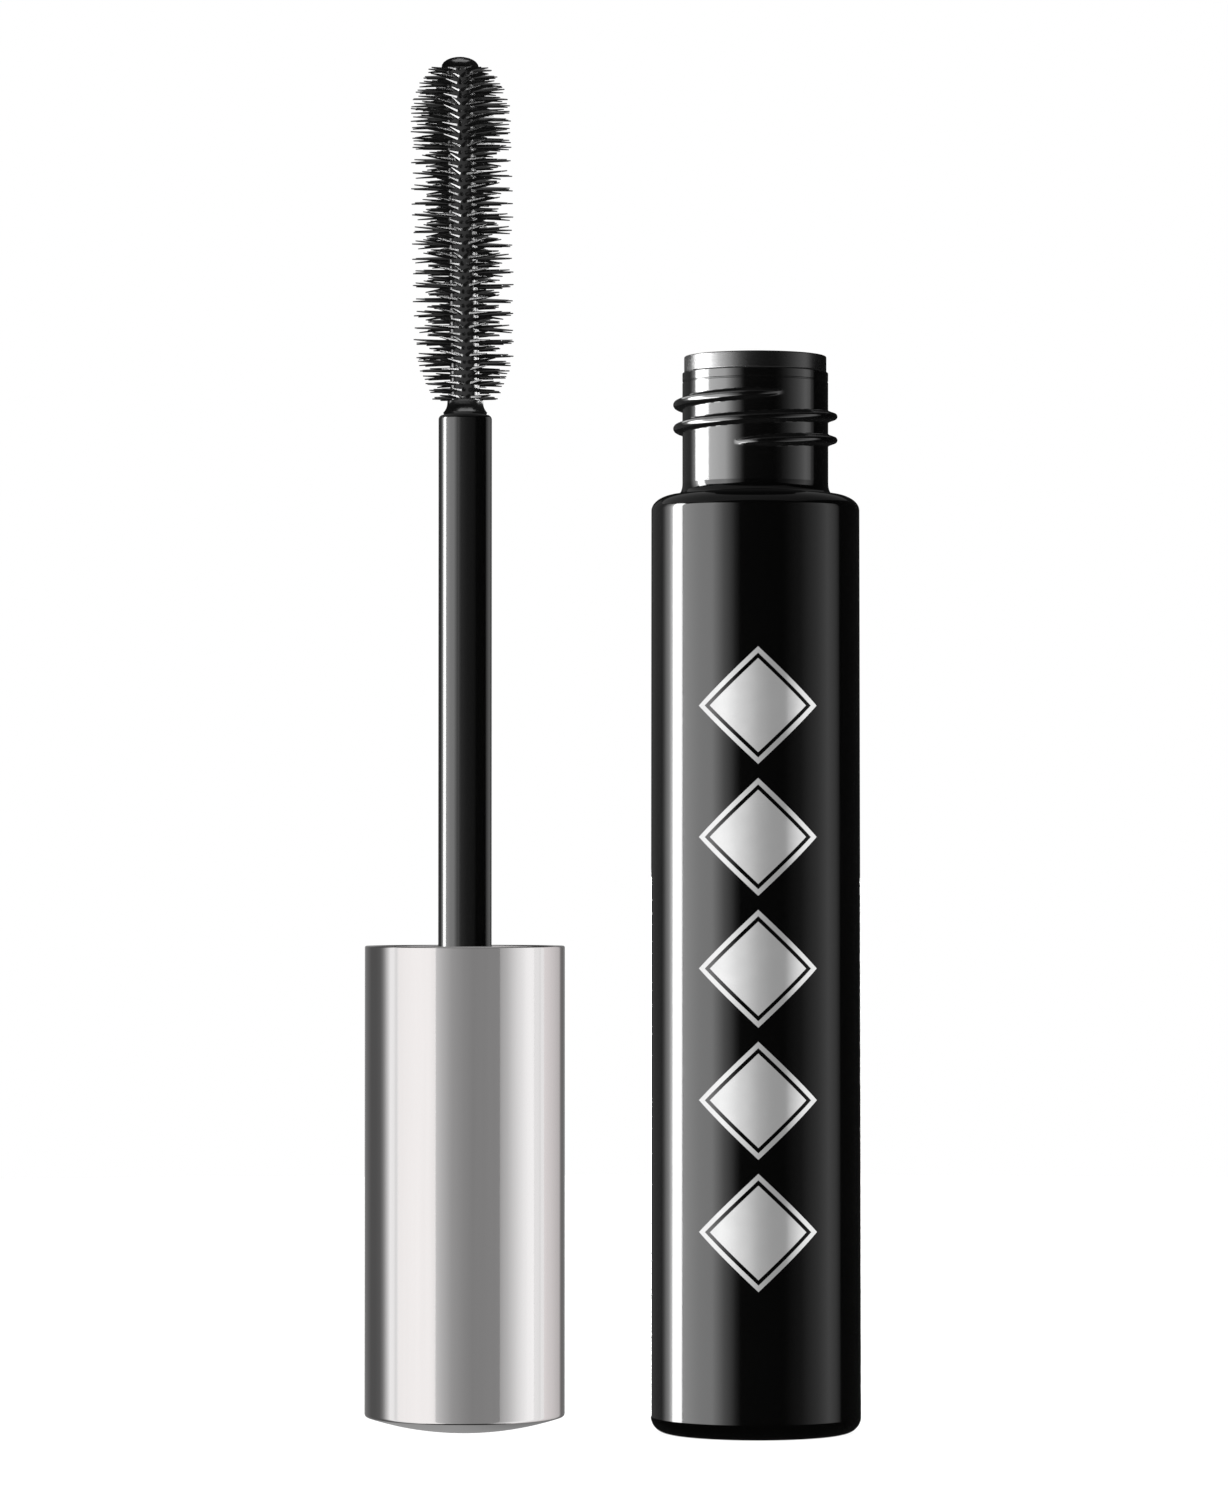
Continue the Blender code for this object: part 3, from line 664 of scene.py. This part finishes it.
def lozenge_ring(scales, along_side=LOZENGE_ROWS):
    """Points and faces of a closed foil plate between two lozenges, or from the middle out."""
    corners = ((1, 0), (0, 1), (-1, 0), (0, -1))
    outline = []
    for i in range(4):
        (x, y), (next_x, next_y) = corners[i], corners[(i + 1) % 4]
        for k in range(along_side):
            share = k / along_side
            outline.append((x + (next_x - x) * share, y + (next_y - y) * share))
    sides = len(outline)
    points, layers = [], []
    for height in (FOIL_HEIGHT, -FOIL_SUNK):
        rings = []
        for scale in scales:
            if scale == 0.0:
                rings.append([len(points)] * sides)
                points.append(on_bottle(0.0, LOZENGE_FIRST_Z, height))
                continue
            rings.append(range(len(points), len(points) + sides))
            for x, y in outline:
                points.append(on_bottle(x * scale * LOZENGE_HALF_WIDTH,
                                        LOZENGE_FIRST_Z + y * scale * LOZENGE_HALF_HEIGHT, height))
        layers.append(rings)
    strips = [pair for rings in layers for pair in zip(rings, rings[1:])]
    strips.append((layers[0][-1], layers[1][-1]))
    if scales[0] > 0.0:
        strips.append((layers[0][0], layers[1][0]))
    return points, [face for one, two in strips for face in band(one, two)]


def make_foil():
    """Five lozenges, each a solid middle inside a thin frame."""
    points, faces = lozenge_ring([i / LOZENGE_ROWS * LOZENGE_MIDDLE for i in range(LOZENGE_ROWS + 1)])
    frame_points, frame_faces = lozenge_ring(LOZENGE_FRAME)
    faces += [[index + len(points) for index in face] for face in frame_faces]
    obj = new_piece("foil_lozenges", points + frame_points, faces, stamped_silver_foil)
    run_tree(obj, copies, {
        "Count": LOZENGE_COUNT, "Rise": LOZENGE_PITCH * MM, "Turn": 0.0, "Axis X": 0.0,
        "Material": stamped_silver_foil})
    return obj


# ---------------------------------------------------------------- the wand


def dome(radius, rise, steps=24):
    """Points from the dome's lowest point, at height 0, out to its edge at height rise."""
    ball = (radius * radius + rise * rise) / (2 * rise)
    return [(radius * i / steps, ball - math.sqrt(ball * ball - (radius * i / steps) ** 2))
            for i in range(steps + 1)]


def make_cap_shell():
    """The cap's thin tube, open at the top, standing on its domed end."""
    inner = CAP_RADIUS - CAP_WALL
    floor_z = DOME_RISE + CAP_END
    profile = [(0.0, floor_z), (inner - CAP_EDGE_ROUND, floor_z), (inner, floor_z + CAP_EDGE_ROUND)]
    profile += arc(inner + CAP_LIP_ROUND, CAP_TOP - CAP_LIP_ROUND, CAP_LIP_ROUND, 180, 90, 4)
    profile += arc(CAP_RADIUS - CAP_LIP_ROUND, CAP_TOP - CAP_LIP_ROUND, CAP_LIP_ROUND, 90, 0, 4)
    profile += arc(CAP_RADIUS - CAP_EDGE_ROUND, DOME_RISE + CAP_EDGE_ROUND, CAP_EDGE_ROUND,
                   0, DOME_EDGE_END, 6)
    profile += list(reversed(dome(CAP_RADIUS - CAP_EDGE_ROUND + DOME_OVERLAP, DOME_RISE)))[1:]
    return turned("cap_tube", profile, polished_aluminium, WAND_X, steps=STEPS_LARGE)


def liner_thread(angle, r, z):
    """Height of the thread on the liner's inside, inwards and so below zero."""
    if abs(r - LINER_INNER) > 1e-6 or not INNER_THREAD_LOW < z < INNER_THREAD_HIGH:
        return 0.0
    return -INNER_THREAD_DEPTH * thread_height(
        angle, z, INNER_THREAD_FIRST_ANGLE, INNER_THREAD_WRAP, INNER_THREAD_FIRST_Z)


def make_cap_liner():
    """The sleeve with its inner thread, the web across it and the rod's socket under the web."""
    web_under = WEB_TOP - WEB
    socket_end = ROD_LOW[2] - TOUCH
    profile = [(0.0, socket_end), (SOCKET_RADIUS, socket_end), (SOCKET_RADIUS, WEB_TOP - SOCKET_FLARE)]
    profile += [(SOCKET_RADIUS + SOCKET_FLARE, WEB_TOP)]
    profile += rows(LINER_INNER, WEB_TOP, LINER_TOP - LINER_CHAMFER)
    profile += [(LINER_INNER + LINER_CHAMFER, LINER_TOP), (LINER_OUTER - LINER_EDGE, LINER_TOP)]
    profile += [(LINER_OUTER, LINER_TOP - LINER_EDGE), (LINER_OUTER, LINER_END)]
    profile += [(LINER_INNER, LINER_END), (LINER_INNER, web_under), (SOCKET_OUTER, web_under)]
    profile += [(SOCKET_OUTER, socket_end - WEB), (0.0, socket_end - WEB)]
    return turned("cap_liner_sleeve", profile, natural_polypropylene, WAND_X, swell=liner_thread)


def make_liner_ribs():
    """Ribs round the socket that hold it straight under the web."""
    near, far = SOCKET_OUTER - RIB_INTO_SOCKET, LINER_INNER + RIB_INTO_LINER
    half = RIB_HALF_WIDTH
    turn = math.pi / RIB_COUNT
    points = []
    for z in (RIB_LOW, RIB_HIGH):
        for out, side in ((near, -half), (far, -half), (far, half), (near, half)):
            points.append((out * math.cos(turn) - side * math.sin(turn),
                           out * math.sin(turn) + side * math.cos(turn), z))
    faces = [(0, 1, 2, 3), (4, 5, 6, 7), (0, 1, 5, 4), (1, 2, 6, 5), (2, 3, 7, 6), (3, 0, 4, 7)]
    obj = new_piece("cap_liner_ribs", points, faces, natural_polypropylene)
    run_tree(obj, copies, {
        "Count": RIB_COUNT, "Rise": 0.0, "Turn": math.tau / RIB_COUNT, "Axis X": WAND_X * MM,
        "Material": natural_polypropylene})
    return obj


def make_seal():
    """The washer round the rod that closes on the wiper's flange."""
    inner, outer = ROD_RADIUS + SEAL_BORE_GAP, 0.5 * (SEAL_HIGH[0] - SEAL_LOW[0])
    low, top = SEAL_LOW[2], SEAL_HIGH[2]
    profile = [(inner, top)]
    profile += arc(outer - SEAL_ROUND, top - SEAL_ROUND, SEAL_ROUND, 90, 0, 3)
    profile += arc(outer - SEAL_ROUND, low + SEAL_ROUND, SEAL_ROUND, 0, -90, 3) + [(inner, low)]
    return turned("cap_seal_disc", profile, expanded_polyethylene, WAND_X, steps=STEPS_SMALL, loop=True)


def make_rod():
    """The rod, with a bore in its upper end for the brush's shank."""
    low, top = ROD_LOW[2], ROD_HIGH[2]
    bore, bore_floor = SHANK_RADIUS + TOUCH, top - ROD_BORE_DEPTH
    profile = [(0.0, bore_floor), (bore, bore_floor), (bore, top)]
    profile += arc(ROD_RADIUS - ROD_ROUND, top - ROD_ROUND, ROD_ROUND, 90, 0, 7)
    profile += [(ROD_RADIUS, low + ROD_FOOT_CHAMFER), (ROD_RADIUS - ROD_FOOT_CHAMFER, low), (0.0, low)]
    return turned("rod_stem", profile, drawn_gloss_black, WAND_X, steps=STEPS_SMALL)


def make_brush():
    """The brush: domed tip, core with its bristles, collar, and the shank down into the rod."""
    tip_z = BRUSH_FOOT_Z + BRUSH_LENGTH
    collar_low = ROD_HIGH[2] + TOUCH
    profile = [(0.0, tip_z + TIP_HEIGHT)]
    profile += [(r * TIP_RADIUS, tip_z + z * TIP_HEIGHT) for r, z in arc(0, 0, 1.0, TIP_ARC_FROM, 0, 5)]
    profile += [(CORE_RADIUS, tip_z - CORE_MARGIN), (CORE_RADIUS, BRUSH_FOOT_Z + CORE_MARGIN)]
    flare = COLLAR_RADIUS - COLLAR_TOP_RADIUS
    profile += [(COLLAR_TOP_RADIUS - COLLAR_EDGE, BRUSH_FOOT_Z + COLLAR_EDGE)]
    profile += [(COLLAR_TOP_RADIUS, BRUSH_FOOT_Z)]
    profile += [(COLLAR_TOP_RADIUS + flare * share ** COLLAR_CURVE, BRUSH_FOOT_Z - COLLAR_HEIGHT * share)
                for share in (0.2, 0.4, 0.55, 0.7, 0.85, 1.0)]
    profile += [(COLLAR_RADIUS - COLLAR_INSET, collar_low), (SHANK_RADIUS, collar_low)]
    profile += [(SHANK_RADIUS, collar_low - SHANK_LENGTH), (0.0, collar_low - SHANK_LENGTH)]
    obj = turned("brush_head", profile, brush_elastomer, WAND_X, steps=STEPS_BRUSH)
    run_tree(obj, bristle_tree(), {
        "Rings": BRISTLE_RINGS, "In A Ring": BRISTLES_IN_RING, "Foot Z": BRUSH_FOOT_Z * MM,
        "Length": BRUSH_LENGTH * MM, "Axis X": WAND_X * MM, "Root Radius": BRISTLE_ROOT * MM,
        "Reach": BRISTLE_REACH * MM, "Foot Reach": FOOT_REACH * MM, "Foot Taper": FOOT_TAPER * MM,
        "Head Reach": HEAD_REACH * MM, "Head Taper": HEAD_TAPER * MM, "Short By": SHORT_BY,
        "Short From": SHORT_FROM * MM, "Short To": SHORT_TO * MM, "Thickness": BRISTLE_THICK * MM,
        "Looseness": LOOSENESS, "Seed": BRUSH_SEED, "Material": brush_elastomer})
    # The brush leans a little from its foot up, as soft ones do.
    for point in obj.data.vertices:
        point.co.x -= BRUSH_LEAN * max(0.0, point.co.z - BRUSH_FOOT_Z * MM)
    return obj


copies = copies_tree()

pieces = [
    (make_bottle_body(), "bottle", "gloss_black_plastic", ["bottle"]),
    (make_bottle_neck(), "bottle", "gloss_black_plastic", []),
    (make_bottle_foot(), "bottle", "gloss_black_plastic", []),
    (make_foil(), "bottle", "polished_aluminium", []),
    (make_wiper(), "bottle", "wiper_polymer", ["wiper"]),
    (make_paste(), "bottle", "mascara_paste", ["mascara_paste"]),
    (make_cap_shell(), "wand", "polished_aluminium", ["cap_shell"]),
    (make_cap_liner(), "wand", "liner_polymer", ["cap_liner"]),
    (make_liner_ribs(), "wand", "liner_polymer", []),
    (make_rod(), "wand", "rod_plastic", ["rod"]),
    (make_brush(), "wand", "brush_elastomer", ["brush"]),
    (make_seal(), "seal", "seal_foam", ["cap_seal"]),
]
for piece, carrier, slot_name, nodes in pieces:
    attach(piece, carrier)
    if nodes:
        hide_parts(*nodes)


# ---------------------------------------------------------------- floor, light and camera


def make_floor():
    """A round board just under the object, which neither mirrors in it nor shades it."""
    points = []
    for i in range(FLOOR_SIDES):
        angle = math.tau * i / FLOOR_SIDES
        points.append((FLOOR_RADIUS * math.cos(angle), FLOOR_RADIUS * math.sin(angle), -FLOOR_DROP))
    obj = new_piece("studio_floor", points, [list(range(FLOOR_SIDES))], studio_board)
    obj.visible_glossy = False
    obj.visible_shadow = False
    return obj


def receivers(name, objects):
    """The pieces that one set of softboxes lights."""
    group = bpy.data.collections.new(name)
    for obj in objects:
        group.objects.link(obj)
    return group


def place_light(light, lit, spot, target):
    """Hangs a light at a spot, facing its target, and lets it light only the pieces in lit."""
    obj = bpy.data.objects.new(light.name, light)
    bpy.context.scene.collection.objects.link(obj)
    obj.location = spot
    away = [a - b for a, b in zip(spot, target)]
    flat = math.hypot(away[0], away[1])
    turn = math.atan2(away[0], -away[1]) if flat > 1e-6 else 0.0
    obj.rotation_euler = (math.pi / 2 - math.atan2(away[2], flat), 0.0, turn)
    obj.visible_camera = False
    obj.light_linking.receiver_collection = lit
    obj.light_linking.blocker_collection = shaded_by.get(lit.name, ground)


def panel(name, width, height, stops, colour="#FFFFFF"):
    """A light panel with a gradient across it. Stops are (share of the width, brightness)."""
    light = bpy.data.lights.new(name, "AREA")
    light.shape = "RECTANGLE"
    light.size = width
    light.size_y = height
    light.energy = math.pi * width * height
    light.color = linear(colour)[:3]
    light.use_nodes = True
    tree = light.node_tree
    brightest = max(value for _, value in stops)
    on_panel = add(tree, "ShaderNodeNewGeometry").outputs["Parametric"]
    across = add(tree, "ShaderNodeSeparateXYZ", (on_panel,))
    ramp = add(tree, "ShaderNodeValToRGB", (across.outputs["X"],))
    elements = ramp.color_ramp.elements
    for i, (place, value) in enumerate(stops):
        share = value / brightest
        element = elements[i] if i < 2 else elements.new(place)
        element.position = place
        element.color = (share, share, share, 1.0)
    strength = add(tree, "ShaderNodeMath", (ramp, brightest), operation="MULTIPLY")
    tree.links.new(strength.outputs[0], tree.nodes["Emission"].inputs["Strength"])
    return light


def softbox(name, stops, lit, colour="#FFFFFF", low=LIGHT_LOW, high=LIGHT_HIGH):
    """An upright panel beside the object. Stops are (azimuth, brightness), with 0 in front."""
    first, last = stops[0][0], stops[-1][0]
    middle, half = math.radians(0.5 * (first + last)), math.radians(0.5 * (last - first))
    stops = [(0.5 + 0.5 * math.tan(math.radians(azimuth) - middle) / math.tan(half), value)
             for azimuth, value in stops]
    light = panel(name, 2 * LIGHT_DISTANCE * math.tan(half), high - low, stops, colour)
    centre = (0.5 * WAND_X * MM, 0.0, 0.5 * (low + high))
    spot = (centre[0] + LIGHT_DISTANCE * math.sin(middle), -LIGHT_DISTANCE * math.cos(middle), centre[2])
    place_light(light, lit, spot, centre)


def level_light(name, size, spot, stops, lit):
    """A level panel over the object, with its gradient from left to right."""
    place_light(panel(name, size, size, stops), lit, spot, (spot[0], spot[1], LIGHT_TARGET_Z))


floor = make_floor()
ground = receivers("ground_light", [floor])

made = [piece for piece, _, _, _ in pieces]
body, neck, _, foil, wiper, fill, cap, liner, ribs, rod, brush, seal = made
# Bottle and wand stand so close that each would show in the other's side. They are lit and
# mirrored as if each stood alone, so that the softboxes draw clean lines down both.
for piece in made:
    piece.visible_glossy = False
# What each set of lights falls on. The foot is in no set: it has the air's trace of light alone,
# and so ends the bottle darkly.
on_cap = receivers("cap_light", [cap])
on_foil = receivers("foil_light", [foil])
on_black = receivers("black_light", [body, neck, wiper, fill, rod, liner, ribs, seal])
on_neck = receivers("neck_light", [neck, wiper])
on_bottle_side = receivers("bottle_light", [body, neck, wiper])
on_wiper = receivers("wiper_light", [wiper])
on_rod = receivers("rod_light", [rod])
on_brush = receivers("brush_light", [brush])
on_back = receivers("back_light", [body])
# In these sets only the wiper casts shadows. In the others only the floor could, and it casts none.
shaded_by = {"black_light": on_wiper, "neck_light": on_wiper, "bottle_light": on_wiper}

# Stops run from left, with minus, to right. Plain and strong strips give the hard white lines,
# and gradients the greys between them.
softbox("black_far_left", [(-165, 0.08), (-127, 0.12), (-122, 0.5), (-112, 2.5), (-105, 8.0)], on_black)
softbox("black_strip_left", [(-105, 20.0), (-89, 20.0)], on_black)
softbox("black_left", [(-88, 5.0), (-64, 4.1), (-49, 4.0), (-45, 3.2), (-35, 1.5), (-22, 0.24),
                       (-17, 0.0)], on_black)
softbox("neck_left", [(-88, 5.0), (-64, 4.6), (-49, 3.6), (-40, 2.0), (-30, 0.6), (-20, 0.0)], on_neck)
softbox("bottle_right", [(30, 0.0), (35, 0.03), (50, 0.13), (70, 0.56), (85, 1.03), (96, 0.6),
                         (104, 0.12)], on_bottle_side)
softbox("neck_strip", [(-111, 14.0), (-80, 14.0)], on_neck)
softbox("neck_right", [(40, 0.0), (60, 0.3), (85, 0.8), (96, 0.5)], on_neck)
softbox("flange_strip", [(-121, 8.0), (-72, 8.0), (-60, 0.0)], on_wiper)

softbox("rod_front", [(-30, 0.6), (-19, 0.45), (-10, 0.36), (0, 0.25), (10, 0.18), (42, 0.09),
                      (50, 0.0)], on_rod)
softbox("rod_right", [(103, 0.12), (108, 0.45), (124, 0.8), (150, 0.42)], on_rod)
softbox("brush_left", [(-120, 8.0), (-100, 8.0)], on_brush, **BRUSH_SPAN)
softbox("brush_front", [(-80, 1.3), (0, 0.8), (60, 0.3)], on_brush)
softbox("brush_right", [(84, 26.0), (116, 20.0)], on_brush, **BRUSH_SPAN)
softbox("brush_far_right", [(126, 8.0), (154, 8.0)], on_brush, **BRUSH_SPAN)
softbox("black_back", [(172, 12.0), (188, 12.0)], on_back, high=0.05)

softbox("cap_far_left", [(-157, 0.17), (-150, 0.15), (-134, 0.08), (-121, 0.08), (-112, 0.1),
                         (-107, 0.18), (-103, 0.34), (-101, 0.45)], on_cap)
softbox("cap_left_edge", [(-101, 0.45), (-96, 0.8), (-93, 1.02), (-88, 1.0), (-84, 0.82),
                          (-81, 1.0)], on_cap)
softbox("cap_left", [(-81, 1.04), (-56, 1.1), (-41, 1.08), (-33, 1.0)], on_cap, "#FFFDFC")
softbox("cap_front", [(-33, 0.66), (-25, 0.51), (-14, 0.35), (-2, 0.28), (9, 0.24), (41, 0.26)], on_cap)
softbox("cap_right", [(41, 0.4), (51, 0.56), (64, 0.83), (78, 1.07), (88, 1.1)], on_cap)
softbox("cap_right_edge", [(88, 0.94), (96, 0.92), (98, 0.84), (100, 0.96), (105, 0.94)], on_cap)
softbox("cap_far_right", [(105, 0.85), (122, 0.7), (142, 0.52), (147, 0.2), (157, 0.1)], on_cap,
        "#FFFAFA")
softbox("cap_back", [(157, 0.2), (170, 0.15), (176, 0.16), (180, 0.24), (184, 0.31), (190, 0.31),
                     (203, 0.2)], on_cap)
softbox("foil_left", [(-104, 1.0), (-60, 1.22), (-37, 1.22), (-30, 1.13), (-24, 0.96)], on_foil)
softbox("foil_front", [(-24, 0.96), (-10, 0.75), (3, 0.5), (16, 0.39), (34, 0.36)], on_foil)
softbox("foil_right", [(34, 0.5), (43, 0.77), (50, 1.0), (65, 1.15), (100, 0.9)], on_foil)
softbox("foil_back", [(150, 0.4), (210, 0.4)], on_foil)

# Overhead panels, with stops from left to right
level_light("cap_over", 0.8, (0.0, 0.0, 0.7), [(0.0, 0.5), (1.0, 0.5)], on_cap)
level_light("black_over", 1.6, (-0.2, 0.3, 0.65), [(0.0, 0.35), (0.5, 0.2), (1.0, 0.1)], on_black)
level_light("neck_over", 1.6, (-0.2, 0.3, 0.65), [(0.0, 3.0), (0.35, 2.4), (0.55, 0.0), (1.0, 0.0)],
            on_neck)
level_light("brush_over", 0.5, (0.0, 0.0, 0.65), [(0.0, 3.0), (1.0, 3.0)], on_brush)
level_light("ground_over", 2.4, (0.0, 0.0, 1.0), [(0.0, 2.3), (1.0, 2.3)], ground)

# The air looks white to the camera, but adds only a trace of light.
world = bpy.data.worlds.new("studio_air")
world.use_nodes = True
bpy.context.scene.world = world
seen = add(world.node_tree, "ShaderNodeLightPath").outputs["Is Camera Ray"]
strength = add(world.node_tree, "ShaderNodeMapRange", {
    "Value": seen, "To Min": AIR_LIGHT, "To Max": 1.0})
world.node_tree.nodes["Background"].inputs["Color"].default_value = (1.0, 1.0, 1.0, 1.0)
world.node_tree.links.new(strength.outputs[0], world.node_tree.nodes["Background"].inputs["Strength"])

camera = bpy.data.objects.new("camera", bpy.data.cameras.new("camera"))
camera.data.sensor_width = 36.0
camera.data.lens = CAMERA_LENS
camera.data.clip_start = 0.01
camera.location = CAMERA_SPOT
camera.rotation_euler = (math.radians(CAMERA_TILT), 0.0, 0.0)
bpy.context.scene.collection.objects.link(camera)
bpy.context.scene.camera = camera
bpy.context.scene.view_settings.view_transform = "Standard"
